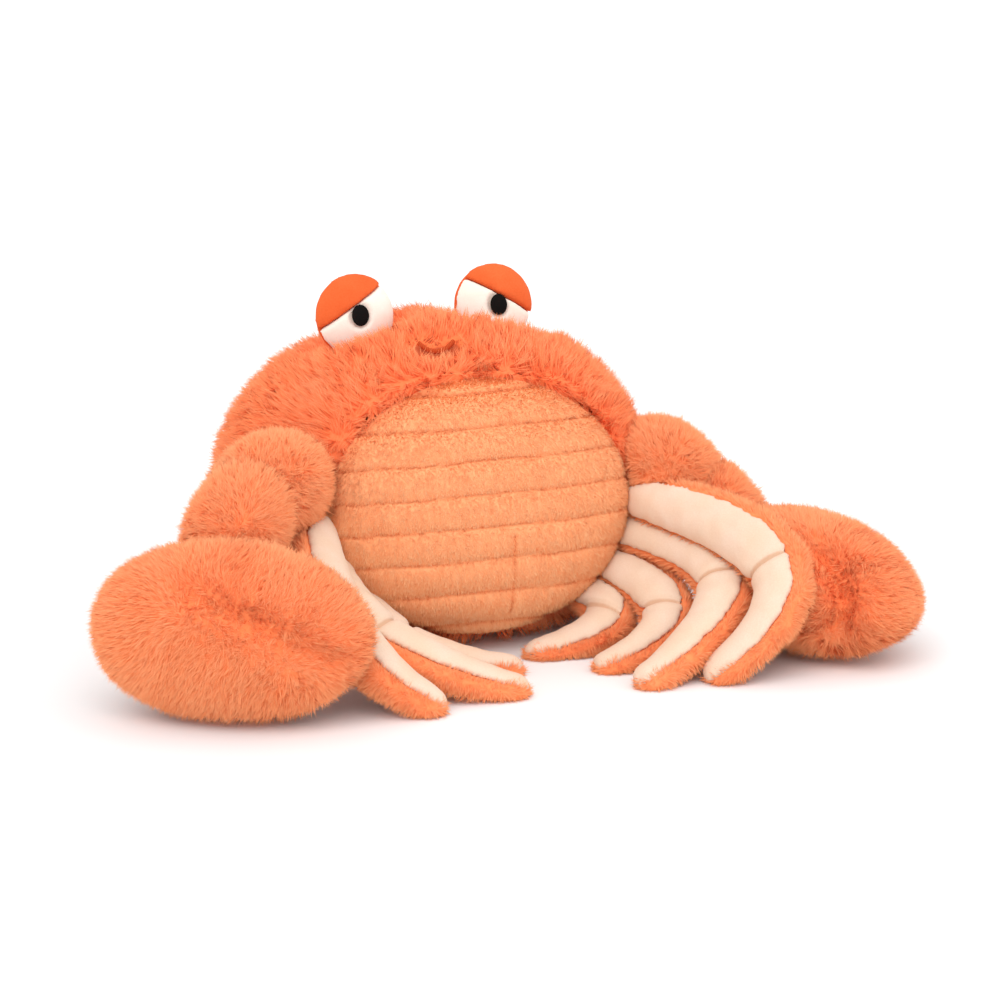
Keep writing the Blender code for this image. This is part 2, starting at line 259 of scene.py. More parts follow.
body_skin = Skin(0.0045, 2)
belly_skin = Skin(0.0015, 1)
arm_skin = Skin(0.0025, 2)
claw_skin = Skin(0.0030, 2)
leg_skin = Skin(0.0018, 2)
lining_skin = Skin(0.00135, 3)
eye_skin = Skin(0.00095, 4)
pupil_levels = 2
smile_levels = 1


@dataclass
class Shade:
    """Shade of a pile on the colour map: its middle, its slow changes, and how much painted shade darkens
    it in hollows.
    """
    middle: float
    patches: float
    hollows: float
    hollow_depth: float


body_shade = Shade(middle=0.47, patches=0.28, hollows=0.15, hollow_depth=0.004)
limb_shade = Shade(middle=0.50, patches=0.18, hollows=0.40, hollow_depth=0.003)

# Where the random draws of each piece start
drift_seed = 1
body_seed = 1
belly_seed = 2
arm_parts = ("upper_arm", "forearm")
arm_seeds = {"left": 11, "right": 31}
leg_seeds = {"left": 90, "right": 110}


@dataclass
class Form:
    """A skin as plain arrays: points, their normals, the hollows they lie in, and triangles."""
    points: np.ndarray
    normals: np.ndarray
    hollows: np.ndarray
    faces: np.ndarray


def unit(vectors):
    return vectors / np.maximum(np.linalg.norm(vectors, axis=-1, keepdims=True), 1e-12)


def along(vectors, directions):
    return np.sum(vectors * directions, axis=-1, keepdims=True)


def bell(distances, width):
    """1 at distance 0, falling to about a third at the given width."""
    return np.exp(-(distances / width) ** 2)


def drift(places, pitch):
    """Slow random vectors over the skin, which change over about one pitch."""
    return np.array([noise.noise_vector(place) for place in places / pitch])


def copy_of(node, name):
    """A free copy of a node's solid, which becomes a soft piece."""
    obj = bpy.data.objects.new(name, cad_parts[node].data.copy())
    bpy.context.scene.collection.objects.link(obj)
    obj.data.materials.clear()
    return obj


def centre_of(node):
    low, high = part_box(node)
    return np.array((low + high) / 2)


def modify(obj, kind, **settings):
    """Adds one modifier and makes it final."""
    modifier = obj.modifiers.new(kind.lower(), kind)
    for key, value in settings.items():
        setattr(modifier, key, value)
    graph = bpy.context.evaluated_depsgraph_get()
    old = obj.data
    obj.data = bpy.data.meshes.new_from_object(obj.evaluated_get(graph))
    obj.modifiers.clear()
    bpy.data.meshes.remove(old)


def vertex_values(mesh, name):
    values = np.empty(len(mesh.vertices) * 3, np.float32)
    mesh.vertices.foreach_get(name, values)
    return values.reshape(-1, 3).astype(float)


def move_points(mesh, points):
    mesh.vertices.foreach_set("co", points.ravel())
    mesh.update()


def above_floor(points):
    points[:, 2] = np.maximum(points[:, 2], floor_clearance)
    return points


def edge_ends(mesh):
    ends = np.empty(len(mesh.edges) * 2, np.int32)
    mesh.edges.foreach_get("vertices", ends)
    return ends.reshape(-1, 2)


def softened(points, ends, rounds):
    """The points after a number of rounds in which each moves to the middle of its neighbours."""
    number = np.bincount(ends.ravel(), minlength=len(points))[:, None]
    for _ in range(rounds):
        total = np.zeros_like(points)
        for axis in range(points.shape[1]):
            total[:, axis] += np.bincount(ends[:, 0], points[ends[:, 1], axis], len(points))
            total[:, axis] += np.bincount(ends[:, 1], points[ends[:, 0], axis], len(points))
        points = total / np.maximum(number, 1)
    return points


def room_shares(points, normals, others):
    """For each point 0 where a neighbour lies against it and 1 where a pile has room to stand."""
    free = [
        others.ray_cast(Vector(point), Vector(normal), contact_start + contact_reach)[0] is None
        for point, normal in zip(points - normals * contact_start, normals)
    ]
    return np.array(free, float)[:, None]


def soften(obj, rounds, inset=0.0, others=None):
    """Smooths a piece and draws it in where a pile will stand."""
    mesh = obj.data
    ends = edge_ends(mesh)
    points = softened(vertex_values(mesh, "co"), ends, rounds)
    move_points(mesh, points)
    if inset:
        normals = vertex_values(mesh, "normal")
        points -= normals * inset * softened(room_shares(points, normals, others), ends, 1)
    move_points(mesh, above_floor(points))


def press(obj, depth):
    """Draws in the skin where something is sewn through it; depth is a function of the place."""
    mesh = obj.data
    points = vertex_values(mesh, "co")
    points -= vertex_values(mesh, "normal") * depth(points)[:, None]
    move_points(mesh, above_floor(points))


def form_of(obj):
    """The arrays of a skin; a hollow is how far a point lies under the skin's general shape."""
    mesh = obj.data
    mesh.calc_loop_triangles()
    faces = np.empty(len(mesh.loop_triangles) * 3, np.int32)
    mesh.loop_triangles.foreach_get("vertices", faces)
    points = vertex_values(mesh, "co")
    normals = unit(vertex_values(mesh, "normal"))
    general = softened(points, edge_ends(mesh), hollow_rounds)
    hollows = along(general - points, normals)[:, 0]
    return Form(points, normals, hollows, faces.reshape(-1, 3))


def tree_of(nodes):
    """One tree for ray tests, made of the solids of several nodes."""
    points, faces = [], []
    for name in nodes:
        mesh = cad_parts[name].data
        start = len(points)
        points += [vertex.co.copy() for vertex in mesh.vertices]
        faces += [[start + index for index in face.vertices] for face in mesh.polygons]
    return BVHTree.FromPolygons(points, faces)


def nearest_on_nodes(nodes, places):
    """For each place the nearest point of some solids, and how far off it is."""
    tree = tree_of(nodes)
    found = [tree.find_nearest(Vector(place)) for place in places]
    return np.array([hit[0] for hit in found]), np.array([hit[3] for hit in found])


def nearest_on_line(places, line):
    """For each place the nearest point of a line through several corners."""
    best = np.broadcast_to(line[0], places.shape).copy()
    for start, end in zip(line, line[1:]):
        run = end - start
        share = np.clip((places - start) @ run / (run @ run), 0, 1)[:, None]
        point = start + run * share
        closer = along(places - point, places - point) < along(places - best, places - best)
        best = np.where(closer, point, best)
    return best


def open_faces(form, others):
    """The triangles on which fur can stand: not against a neighbour and not under the seat."""
    middles = form.points[form.faces].mean(axis=1)
    normals = unit(form.normals[form.faces].mean(axis=1))
    keep = [
        others.ray_cast(Vector(middle), Vector(normal), hidden_reach)[0] is None
        for middle, normal in zip(middles, normals)
    ]
    seated = (middles[:, 2] < seat_height) & (normals[:, 2] < seat_slope)
    return form.faces[np.array(keep) & ~seated]


def scatter(form, faces, count, rng):
    """Random places on some triangles, with the normal and the hollow there."""
    corners = form.points[faces]
    crossed = np.cross(corners[:, 1] - corners[:, 0], corners[:, 2] - corners[:, 0])
    areas = np.linalg.norm(crossed, axis=1)
    pick = rng.choice(len(areas), count, p=areas / areas.sum())
    first, second = rng.random((2, count))
    over = first + second > 1
    first[over], second[over] = 1 - first[over], 1 - second[over]
    shares = np.stack((1 - first - second, first, second), axis=1)
    places = np.einsum("ij,ijk->ik", shares, corners[pick])
    normals = unit(np.einsum("ij,ijk->ik", shares, form.normals[faces][pick]))
    hollows = np.einsum("ij,ij->i", shares, form.hollows[faces][pick])
    return places, normals, hollows


def clumps_of(places, pile, rng):
    """The blades that lead a clump, and for each blade the number of its clump."""
    leads = rng.choice(pile.count, pile.count // pile.per_clump, replace=False)
    tree = KDTree(len(leads))
    for index, lead in enumerate(places[leads]):
        tree.insert(lead, index)
    tree.balance()
    return leads, np.array([tree.find(place)[1] for place in places])


def combed(places, normals, pile, comb, clump_turn):
    """The direction along the skin in which each blade lies, and how firmly it is combed."""
    heading = comb(places, normals) + drift(places, swirl_pitch) * pile.wander + clump_turn
    heading -= normals * along(heading, normals)
    return unit(heading), np.linalg.norm(heading, axis=1) / full_heading


def leaning(normals, run, firmness, pile, rng):
    """The directions of each blade's lower and upper half."""
    lean = pile.lean * np.clip(firmness, upright_share, 1)
    lean += rng.normal(0, lean_spread, pile.count)
    lower = normals * np.cos(lean)[:, None] + run * np.sin(lean)[:, None]
    lower = unit(lower + rng.normal(0, stray_spread, (pile.count, 3)))
    return lower, unit(lower + run * pile.bend - up * pile.sag)


def shortened(places, directions, lengths, others):
    """Lengths cut back where a blade would run into a neighbour."""
    lengths = lengths.copy()
    for index, (place, direction) in enumerate(zip(places, directions)):
        distance = others.ray_cast(Vector(place), Vector(direction), lengths[index])[3]
        if distance is not None:
            lengths[index] = max(distance, lengths[index] * shortest_share)
    return lengths


def half_widths(lower, normals, pile, rng):
    """The vectors from the middle of each blade's root to its side."""
    twist = rng.normal(0, twist_spread, (pile.count, 1))
    across = unit(np.cross(lower, normals))
    across = across * np.cos(twist) + np.cross(lower, across) * np.sin(twist)
    return across * pile.width / 2 * rng.uniform(*width_range, (pile.count, 1))


def tone_chance(clump_count, clump, rng):
    by_clump = rng.normal(0, clump_tone_spread, clump_count)[clump]
    by_blade = rng.normal(0, blade_tone_spread, len(clump))
    return by_clump + by_blade


def blades(form, faces, pile, comb, tone, trim, others, rng):
    """Tapered blades of fur: their points, triangles, normals and map places."""
    places, normals, hollows = scatter(form, faces, pile.count, rng)
    leads, clump = clumps_of(places, pile, rng)
    clump_turn = rng.normal(size=(len(leads), 3))[clump] * pile.spread * pile.pull
    clump_length = rng.normal(1, clump_length_spread, len(leads))[clump]
    run, firmness = combed(places, normals, pile, comb, clump_turn)
    lower, upper = leaning(normals, run, firmness, pile, rng)
    length = pile.length * clump_length * rng.uniform(*length_range, pile.count)
    length *= np.clip(1 - hollows / hollow_depth, *hollow_length_range)
    if trim:
        length *= trim(places)
    length = shortened(places, lower, length, others)[:, None]
    roots = places - normals * root_sink
    tips = places + (lower + upper) * length / 2
    tips += (tips[leads][clump] - tips) * pile.pull
    across = half_widths(lower, normals, pile, rng)
    tones = tone(places, hollows) + tone_chance(len(leads), clump, rng)
    return spikes(pile, roots, tips, across, normals, np.clip(tones, *blade_tone_limits))


def spikes(pile, roots, tips, across, normals, tones):
    """The faces of all blades: an outer face each, and an inner one on the crab's far sides."""
    facing = unit(np.cross(across, tips - roots))
    rows = np.stack((roots - across, roots + across, tips), axis=1)
    lift = (facing * half_blade)[:, None]
    outer = np.repeat(unit(normals * pile.skin_share + facing)[:, None], 3, axis=1)
    inner = np.repeat(unit(normals * inner_skin_share - facing)[:, None], 3, axis=1)
    places = np.array(((-tone_step, root_level), (tone_step, root_level), (0, tip_level)))
    places = np.repeat(places[None], len(tones), axis=0)
    places[:, :, 0] += tones[:, None]
    far = normals @ toward_camera < far_limit
    points = np.concatenate((rows + lift, rows[far, ::-1] - lift[far])).reshape(-1, 3)
    shade = np.concatenate((outer, inner[far])).reshape(-1, 3)
    places = np.concatenate((places, places[far, ::-1])).reshape(-1, 2)
    faces = np.arange(len(points)).reshape(-1, 3)
    return above_floor(points), faces, shade, places


def skin_places(form, tone):
    """Map places of the bare skin, which has the middle shade of the pile."""
    tones = np.clip(tone(form.points, form.hollows), *skin_tone_limits)
    levels = np.array([noise.noise(point) for point in form.points / skin_level_pitch])
    return np.stack((tones, skin_level + skin_level_spread * levels), axis=1)


def fur_mesh(name, form, fur, places_of_skin):
    """One mesh of skin and blades, with its map and its shading normals."""
    points, faces, normals, places = fur
    start = len(form.points)
    all_points = np.concatenate((form.points, points))
    all_faces = np.concatenate((form.faces, faces + start))
    all_normals = np.concatenate((form.normals, normals))
    all_places = np.concatenate((places_of_skin, places))
    mesh = bpy.data.meshes.new(name)
    mesh.vertices.add(len(all_points))
    mesh.vertices.foreach_set("co", all_points.astype(np.float32).ravel())
    mesh.loops.add(all_faces.size)
    mesh.loops.foreach_set("vertex_index", all_faces.astype(np.int32).ravel())
    mesh.polygons.add(len(all_faces))
    mesh.polygons.foreach_set("loop_start", np.arange(0, all_faces.size, 3, dtype=np.int32))
    layer = mesh.uv_layers.new(name="OFBake")
    layer.uv.foreach_set("vector", all_places[all_faces].astype(np.float32).ravel())
    mesh.update(calc_edges=True)
    mesh.shade_smooth()
    mesh.normals_split_custom_set_from_vertices(all_normals.astype(np.float32))
    return mesh


def fur_piece(node, pile, skin, comb, tone, material, seed, depth=None, trim=None):
    """A furred cushion in place of one node."""
    obj = copy_of(node, node + "_fur")
    modify(obj, "REMESH", mode="VOXEL", voxel_size=skin.mesh_size)
    others = tree_of([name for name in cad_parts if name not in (node, "smile")])
    soften(obj, skin.rounds, pile.inset, others)
    if depth:
        press(obj, depth)
    form = form_of(obj)
    rng = np.random.default_rng(seed)
    fur = blades(form, open_faces(form, others), pile, comb, tone, trim, others, rng)
    old = obj.data
    obj.data = fur_mesh(obj.name, form, fur, skin_places(form, tone))
    bpy.data.meshes.remove(old)
    obj.data.materials.append(material)
    return obj


def suede_piece(node, skin, material, depth=None):
    """A smooth cushion of short-napped cloth in place of one node."""
    obj = copy_of(node, node + "_cloth")
    modify(obj, "REMESH", mode="VOXEL", voxel_size=skin.mesh_size)
    soften(obj, skin.rounds)
    if depth:
        press(obj, depth)
    layer = obj.data.attributes.new("hollow", "FLOAT", "POINT")
    layer.data.foreach_set("value", form_of(obj).hollows.astype(np.float32))
    obj.data.shade_smooth()
    obj.data.materials.append(material)
    return obj


def stitched_piece(node, levels, material):
    """Stitches in place of one node."""
    obj = copy_of(node, node + "_stitches")
    modify(obj, "WELD", merge_threshold=weld_reach)
    modify(obj, "SUBSURF", levels=levels, render_levels=levels)
    obj.data.shade_smooth()
    obj.data.materials.append(material)
    return obj


def show(obj, node):
    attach(obj, "root")
    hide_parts(node)


class Nodes:
    """Short ways to add and join the nodes of one material."""

    def __init__(self, name):
        self.material = bpy.data.materials.new(name)
        self.material.use_nodes = True
        self.tree = self.material.node_tree
        self.shader = self.tree.nodes["Principled BSDF"]

    def add(self, kind, **settings):
        node = self.tree.nodes.new(kind)
        for key, value in settings.items():
            setattr(node, key, value)
        return node

    def feed(self, target, source):
        """Joins an output to an input, or writes a plain value to it."""
        if isinstance(source, bpy.types.NodeSocket):
            self.tree.links.new(source, target)
        else:
            target.default_value = source

    def shade(self, **sources):
        """Feeds the shader's inputs, named in small letters with low lines for spaces."""
        for name, source in sources.items():
            title = name.replace("_", " ").title().replace("Ior", "IOR")
            self.feed(self.shader.inputs[title], source)

    def blend(self, share, low, high):
        node = self.add("ShaderNodeMix", data_type="RGBA")
        self.feed(node.inputs["Factor"], share)
        self.feed(node.inputs["A"], low)
        self.feed(node.inputs["B"], high)
        return node.outputs["Result"]

    def spread(self, value, limits, results=(0.0, 1.0)):
        """A value spread from its limits to the results, and held between them."""
        node = self.add("ShaderNodeMapRange")
        self.feed(node.inputs["Value"], value)
        node.inputs["From Min"].default_value, node.inputs["From Max"].default_value = limits
        node.inputs["To Min"].default_value, node.inputs["To Max"].default_value = results
        return node.outputs["Result"]

    def grain(self, place, scale, detail):
        node = self.add("ShaderNodeTexNoise")
        self.feed(node.inputs["Vector"], place)
        node.inputs["Scale"].default_value = scale
        node.inputs["Detail"].default_value = detail
        return node.outputs["Fac"]

    def relief(self, height, strength, distance):
        node = self.add("ShaderNodeBump")
        self.feed(node.inputs["Height"], height)
        node.inputs["Strength"].default_value = strength
        node.inputs["Distance"].default_value = distance
        return node.outputs["Normal"]


def rgb(red, green, blue):
    return (red, green, blue, 1.0)


# Fur: colour by its map, with painted shade in its deep colour and darker roots, and flecks of the lightest
# shade
map_height_limits = (0.05, 0.95)
painted_shade_tone_limits = (0.02, 0.14)
fleck_scale = 90.0
fleck_detail = 3.0
fleck_limits = (0.35, 0.75)
fleck_share = 0.18
fur_roughness = (0.82, 0.95)
fur_shine = 0.15
sheen_roughness = 0.6

# Suedette: soft patches where the nap lies differently, fine grain and painted shade in hollows
patch_scale = 55.0
patch_detail = 2.0
patch_limits = (0.35, 0.65)
nap_scale = 1400.0
nap_detail = 4.0
nap_limits = (0.35, 0.7)
cloth_shade_hollow_limits = (0.00005, 0.0006)
cloth_hollow_shade_share = 0.8
cloth_roughness = (0.78, 0.92)
cloth_shine = 0.2
cloth_sheen = 0.15
nap_strength = 0.35
nap_height = 0.0003

# Thread: close rows of satin stitches with fine fibres
wave_factor = 20
row_limits = (0.1, 0.9)
row_distortion = 1.5
fibre_scale = 2500.0
fibre_detail = 3.0
fibre_limits = (0.4, 0.7)
fibre_share = 0.3
thread_roughness = (0.6, 0.8)

# The middle of a grain, which roughness follows
middle_limits = (0.3, 0.7)

# Floor: nearly even white
floor_grain_scale = 3.0
floor_grain_detail = 3.0
floor_roughness = 0.9


def fur_material(name, deep, dark, light, sheen):
    """Fur by its map: tone across, and height on the blade, from root to tip, up it; the darker roots and
    the deep colour at the lowest tones are painted shade.
    """
    nodes = Nodes(name)
    place = nodes.add("ShaderNodeUVMap", uv_map="OFBake").outputs["UV"]
    parts = nodes.add("ShaderNodeSeparateXYZ")
    nodes.feed(parts.inputs["Vector"], place)
    tone = parts.outputs["X"]
    height = nodes.spread(parts.outputs["Y"], map_height_limits)
    # Painted shade: every tone is darker at the root than at the tip, for the shade deep in the pile.
    colour = nodes.blend(tone, nodes.blend(height, *dark), nodes.blend(height, *light))
    # Painted shade: the lowest tones, in hollows, the smile's dip and the belly's sewn lines, turn to the
    # deep colour.
    colour = nodes.blend(nodes.spread(tone, painted_shade_tone_limits), deep, colour)
    fleck = nodes.grain(place, fleck_scale, fleck_detail)
    palest = light[1]
    colour = nodes.blend(nodes.spread(fleck, fleck_limits, (0.0, fleck_share)), colour, palest)
    roughness = nodes.spread(fleck, middle_limits, fur_roughness)
    nodes.shade(base_color=colour, roughness=roughness, specular_ior_level=fur_shine)
    nodes.shade(sheen_weight=sheen, sheen_roughness=sheen_roughness, sheen_tint=palest)
    return nodes.material


def suede_material(name, deep, middle, pale, nap):
    """Short-napped cloth, with painted shade in its hollows."""
    nodes = Nodes(name)
    place = nodes.add("ShaderNodeTexCoord").outputs["Object"]
    patches = nodes.grain(place, patch_scale, patch_detail)
    grain = nodes.grain(place, nap_scale, nap_detail)
    colour = nodes.blend(nodes.spread(patches, patch_limits), middle, pale)
    colour = nodes.blend(nodes.spread(grain, nap_limits, (0.0, nap)), colour, deep)
    # Painted shade: the cloth turns to its deep colour in hollows, such as the knee stitches and the
    # lining's edges.
    hollow = nodes.add("ShaderNodeAttribute", attribute_name="hollow").outputs["Fac"]
    painted_hollow_shade = nodes.spread(hollow, cloth_shade_hollow_limits, (0.0, cloth_hollow_shade_share))
    colour = nodes.blend(painted_hollow_shade, colour, deep)
    roughness = nodes.spread(grain, middle_limits, cloth_roughness)
    nodes.shade(base_color=colour, roughness=roughness, specular_ior_level=cloth_shine)
    nodes.shade(sheen_weight=cloth_sheen, sheen_tint=pale)
    nodes.shade(normal=nodes.relief(grain, nap_strength, nap_height))
    return nodes.material


def thread_material(name, deep, pale, pitch):
    """Rows of stitches a pitch apart."""
    nodes = Nodes(name)
    place = nodes.add("ShaderNodeTexCoord").outputs["Object"]
    rows = nodes.add("ShaderNodeTexWave", wave_type="BANDS", bands_direction="X")
    nodes.feed(rows.inputs["Vector"], place)
    rows.inputs["Scale"].default_value = math.tau / pitch / wave_factor
    rows.inputs["Distortion"].default_value = row_distortion
    fibres = nodes.grain(place, fibre_scale, fibre_detail)
    colour = nodes.blend(nodes.spread(rows.outputs["Fac"], row_limits), deep, pale)
    colour = nodes.blend(nodes.spread(fibres, fibre_limits, (0.0, fibre_share)), colour, deep)
    roughness = nodes.spread(fibres, middle_limits, thread_roughness)
    nodes.shade(base_color=colour, roughness=roughness, specular_ior_level=0.0)
    return nodes.material


def floor_material():
    nodes = Nodes("floor")
    place = nodes.add("ShaderNodeTexCoord").outputs["Object"]
    tint = nodes.spread(nodes.grain(place, floor_grain_scale, floor_grain_detail), middle_limits)
    colour = nodes.blend(tint, rgb(0.93, 0.93, 0.93), rgb(0.95, 0.95, 0.95))
    nodes.shade(base_color=colour, roughness=floor_roughness, specular_ior_level=0.0)
    return nodes.material


def make_furs():
    """Long fur, short fur and belly plush."""
    # Each fur: a deep colour, painted shade for the lowest tones, then dark and light tones as (root, tip)
    # pairs whose darker roots are painted shade.
    long_fur = fur_material(
        "fur", rgb(0.42, 0.035, 0.008),
        (rgb(1.0, 0.135, 0.028), rgb(1.0, 0.24, 0.075)), (rgb(1.0, 0.20, 0.055), rgb(1.0, 0.43, 0.21)),
        sheen=0.25,
    )
    short_fur = fur_material(
        "short_fur", rgb(0.80, 0.10, 0.02),
        (rgb(1.0, 0.19, 0.045), rgb(1.0, 0.33, 0.12)), (rgb(1.0, 0.27, 0.08), rgb(1.0, 0.48, 0.25)),
        sheen=0.2,
    )
    plush = fur_material(
        "belly_plush", rgb(0.78, 0.19, 0.06),
        (rgb(0.88, 0.23, 0.07), rgb(1.0, 0.43, 0.18)), (rgb(1.0, 0.43, 0.18), rgb(1.0, 0.63, 0.35)),
        sheen=0.2,
    )
    return long_fur, short_fur, plush


def make_cloths():
    """Orange suedette, the legs' lining and the eyes' cream cloth."""
    # Each cloth: a deep colour for the darker grain of the nap and for painted shade in hollows, then
    # middle and pale tones.
    suede = suede_material(
        "suede", rgb(0.66, 0.085, 0.017), rgb(0.78, 0.125, 0.028), rgb(0.81, 0.15, 0.038), nap=0.30,
    )
    lining = suede_material(
        "lining", rgb(0.68, 0.40, 0.25), rgb(0.82, 0.61, 0.45), rgb(0.85, 0.66, 0.52), nap=0.20,
    )
    eye_cloth = suede_material(
        "eye_cloth", rgb(0.90, 0.74, 0.60), rgb(0.98, 0.87, 0.76), rgb(1.0, 0.92, 0.83), nap=0.15,
    )
    return suede, lining, eye_cloth


def make_threads():
    """The pupils' black thread and the smile's dark orange one."""
    pupil = thread_material(
        "pupil_thread", rgb(0.009, 0.008, 0.008), rgb(0.013, 0.011, 0.010), pitch=0.0006,
    )
    smile = thread_material(
        "smile_thread", rgb(0.46, 0.06, 0.017), rgb(0.60, 0.095, 0.03), pitch=0.0008,
    )
    return pupil, smile


def smile_share(places, width=smile_half_width):
    """1 on the smile's line of stitches, falling to 0 beside it."""
    reach = nearest_on_nodes(["smile"], places)[1]
    return bell(np.maximum(reach - smile_inset, 0), width)


def eye_room(places):
    """How far places lie from the eyes."""
    eyes = [f"{part}_{label}" for part in ("eye_back", "eye_white") for label in sides]
    return nearest_on_nodes(eyes, places)[1]


def body_comb(places, normals):
    """The body's fur runs outward from the belly, downward at the back and away from the smile."""
    behind = np.clip((places[:, 1:2] - body_y) / body_half_depth, 0, 1)
    run = (places - comb_start) / comb_reach - up * behind * back_fall
    rim = nearest_on_nodes(["belly_panel"], places)[1][:, None]
    run *= 1 - rim_turn * bell(rim, rim_reach)
    away = places - nearest_on_nodes(["smile"], places)[0]
    share = smile_share(places, smile_part_reach)[:, None]
    return run * (1 - share) + unit(away - normals * along(away, normals)) * share


def tone_of(shade, places, hollows):
    patches = drift(places, patch_pitch)[:, 0] * shade.patches
    # Painted shade: the tone is darkened where the skin lies in a hollow.
    return shade.middle + patches - np.clip(hollows / shade.hollow_depth, 0, 1) * shade.hollows


def body_tone(places, hollows):
    shadow = smile_share(places) ** smile_shadow_edge * smile_shadow
    return tone_of(body_shade, places, hollows) - shadow


def body_press(places):
    """The skin dips along the smile and around the eyes, and bulges over the smile."""
    mound = centre_of("smile") + up * mound_rise
    bulge = bell(np.linalg.norm(places - mound, axis=1), mound_radius) * mound_height
    sockets = bell(eye_room(places), socket_radius) * socket_depth
    return smile_share(places) * smile_dip + sockets - bulge


def body_trim(places):
    """The pile is cut short along the smile and around the eyes."""
    return np.clip(eye_room(places) / eye_clear, eye_trim, 1) * (1 - smile_share(places) * smile_trim)


def make_body():
    obj = fur_piece(
        "body", body_pile, body_skin, body_comb, body_tone, long_fur, body_seed, body_press, body_trim,
    )
    show(obj, "body")


def make_smile():
    """The smile's stitches lie down in the pile, close to the skin."""
    obj = stitched_piece("smile", smile_levels, smile_thread)
    outward = tree_of(["body"]).find_nearest(Vector(centre_of("smile")))[1]
    obj.data.transform(Matrix.Translation(-outward * smile_sink))
    show(obj, "smile")


def toward(direction):
    """Fur that all lies one way."""
    return lambda places, normals: np.broadcast_to(np.array(direction), places.shape)


def away_from(line, reach):
    """Fur that parts at a line inside a cushion."""
    return lambda places, normals: (places - nearest_on_line(places, line)) / reach


def belly_levels(places):
    """Height of places along the leaning panel, from its centre."""
    centre = np.array((body_x, body_y - belly_forward, belly_centre_height))
    rise = np.array((0.0, math.sin(belly_lean), math.cos(belly_lean)))
    return (places - centre) @ rise


def channel_share(places):
    """How near places lie to a line of stitches, from 0 on a rib to 1 on the stitches."""
    levels = belly_levels(places) + drift(places, channel_wave_pitch)[:, 0] * channel_wave
    away = (levels / rib_pitch - np.floor(levels / rib_pitch) - 0.5) * rib_pitch
    seam = bell(places[:, 0] - body_x - seam_across, channel_half_width)
    seam *= (levels < seam_top) & (levels > seam_bottom)
    return np.maximum(bell(away, channel_half_width), seam * seam_share)


def channel_press(places):
    return channel_share(places) * channel_depth


def rim_share(places):
    """How far out places lie on the panel, from 0 where its rim starts to 1 at its edge."""
    across = (places[:, 0] - body_x) / belly_half_width
    outward = np.hypot(across, belly_levels(places) / belly_half_height)
    return np.clip((outward - rim_start) / (1 - rim_start), 0, 1)


def belly_tone(places, hollows):
    streaks = drift(places * streak_stretch, streak_pitch)[:, 1] * belly_streaks
    patches = drift(places, patch_pitch)[:, 0] * belly_patches
    shadow = channel_share(places) * belly_line_shadow + rim_share(places) * belly_rim_shadow
    return belly_middle + streaks + patches - shadow


def make_belly():
    down = toward((0.0, -math.sin(belly_lean), -math.cos(belly_lean)))
    obj = fur_piece(
        "belly_panel", belly_pile, belly_skin, down, belly_tone, plush, belly_seed, channel_press,
    )
    show(obj, "belly_panel")


def pupil_seat(node):
    """The eye's face is drawn in under its stitched pupil."""
    return lambda places: seat_depth * bell(nearest_on_nodes([node], places)[1], seat_reach)


def make_eye(label):
    pupil = f"pupil_{label}"
    for part, cloth, slot, depth in (
        ("eye_back", suede, "suede", None),
        ("eye_white", eye_cloth, "eye_cloth", pupil_seat(pupil)),
        ("eyelid", suede, "suede", None),
    ):
        node = f"{part}_{label}"
        show(suede_piece(node, eye_skin, cloth, depth), node)
    show(stitched_piece(pupil, pupil_levels, pupil_thread), pupil)


def limb_tone(places, hollows):
    return tone_of(limb_shade, places, hollows)


def crease(line, depth, half_width):
    """How far the skin is drawn in along a sewn line."""
    def depth_at(places):
        away = np.linalg.norm(places - nearest_on_line(places, line), axis=1)
        return depth * bell(away, half_width)
    return depth_at


def make_arm(label):
    seed = arm_seeds[label]
    for number, part in enumerate(arm_parts):
        node = f"{part}_{label}"
        comb = away_from(np.array([centre_of(node) + whorl_forward]), whorl_reach)
        obj = fur_piece(node, arm_pile, arm_skin, comb, limb_tone, short_fur, seed + number)
        show(obj, node)


def make_claw(label):
    node = f"claw_{label}"
    line = np.array(pincer_lines[label])
    comb = away_from(line * parting_share + centre_of(node), whorl_reach)
    depth = crease(line + centre_of(node), pincer_depths[label], pincer_half_width)
    seed = arm_seeds[label] + len(arm_parts)
    obj = fur_piece(node, claw_pile, claw_skin, comb, limb_tone, short_fur, seed, depth)
    show(obj, node)


def leg_line(node):
    """Root, knee and tip of a leg, found on its solid."""
    points = vertex_values(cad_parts[node].data, "co")
    middle = np.array((body_x, body_y, 0.0))
    root = points[np.argmin(np.linalg.norm((points - middle)[:, :2], axis=1))]
    tip = points[np.argmax(np.linalg.norm(points - root, axis=1) - points[:, 2])]
    bow = np.linalg.norm(np.cross(points - root, unit(tip - root)), axis=1)
    knee = points[np.argsort(bow)[-knee_sample:]].mean(axis=0)
    return root, knee, tip


def toe_swell(node, fullness):
    """The blunt, full end of a leg."""
    tip = leg_line(node)[2]
    return lambda places: -fullness * bell(np.linalg.norm(places - tip, axis=1), toe_reach)


def lining_press(node, back):
    """A full face with stitches across the knee and the soft puckers of hand sewing."""
    root, knee, tip = leg_line(node)
    run = unit(tip - root)
    swell = toe_swell(node, lining_toe_fullness)

    def depth_at(places):
        stitches = knee_depth * bell((places - knee) @ run, knee_half_width)
        puckers = drift(places, pucker_pitch)[:, 0] * pucker_depth
        reach = nearest_on_nodes([back], places)[1]
        fullness = np.clip(reach / face_reach, 0, 1) * face_fullness
        return stitches + puckers - fullness - lining_lift + swell(places)
    return depth_at


def make_leg(label, number):
    back = f"leg_{label}_{number}"
    seed = leg_seeds[label] + number
    swell = toe_swell(back, back_toe_fullness)
    obj = fur_piece(back, leg_pile, leg_skin, toward(leg_comb), limb_tone, short_fur, seed, swell)
    show(obj, back)
    node = f"leg_lining_{label}_{number}"
    obj = suede_piece(node, lining_skin, lining, lining_press(node, back))
    show(obj, node)


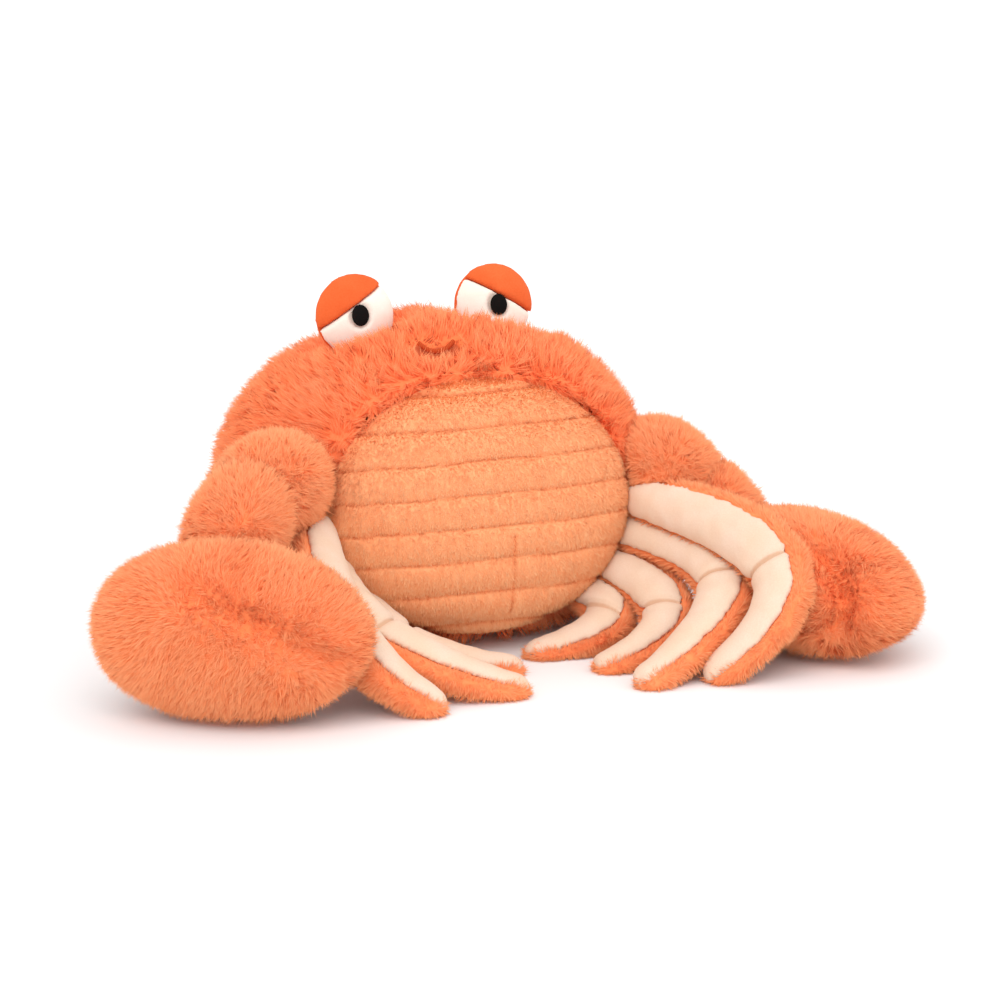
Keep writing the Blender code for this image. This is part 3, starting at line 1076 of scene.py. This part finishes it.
def make_floor():
    bpy.ops.mesh.primitive_plane_add(size=floor_size)
    floor = bpy.context.object
    floor.name = "floor"
    floor.data.materials.append(floor_material())


def make_surround():
    """White surround: plain white to the camera, a little dimmer as a light."""
    world = bpy.data.worlds.new("surround")
    bpy.context.scene.world = world
    world.use_nodes = True
    tree = world.node_tree
    background = tree.nodes["Background"]
    background.inputs["Color"].default_value = rgb(1.0, 1.0, 1.0)
    path = tree.nodes.new("ShaderNodeLightPath")
    strength = tree.nodes.new("ShaderNodeMapRange")
    strength.inputs["To Min"].default_value = surround_strength
    strength.inputs["To Max"].default_value = 1.0
    tree.links.new(path.outputs["Is Camera Ray"], strength.inputs["Value"])
    tree.links.new(strength.outputs["Result"], background.inputs["Strength"])


def make_lamp(name, strength, angle, place):
    data = bpy.data.lights.new(name, "SUN")
    data.energy = strength
    data.angle = angle
    obj = bpy.data.objects.new(name, data)
    bpy.context.scene.collection.objects.link(obj)
    obj.rotation_euler = Vector(place).to_track_quat("Z", "Y").to_euler()


def make_camera():
    right = Vector((math.cos(camera_turn), math.sin(camera_turn), 0))
    back = Vector(toward_camera)
    upward = back.cross(right)
    target = Vector((body_x, body_y - aim_forward, 0)) + right * aim_across + upward * aim_up
    data = bpy.data.cameras.new("camera")
    data.sensor_width = sensor_width
    data.lens = sensor_width * camera_distance / picture_width
    camera = bpy.data.objects.new("camera", data)
    bpy.context.scene.collection.objects.link(camera)
    camera.location = target + back * camera_distance
    camera.rotation_euler = back.to_track_quat("Z", "Y").to_euler()
    bpy.context.scene.camera = camera


bpy.context.scene.view_settings.view_transform = "Standard"
noise.seed_set(drift_seed)
long_fur, short_fur, plush = make_furs()
suede, lining, eye_cloth = make_cloths()
pupil_thread, smile_thread = make_threads()
make_body()
make_belly()
make_smile()
for label in sides:
    make_eye(label)
    make_arm(label)
    make_claw(label)
    for number in range(1, legs_a_side + 1):
        make_leg(label, number)
make_floor()
make_surround()
make_lamp("key", key_strength, key_angle, key_place)
make_lamp("fill", fill_strength, fill_angle, fill_place)
make_camera()
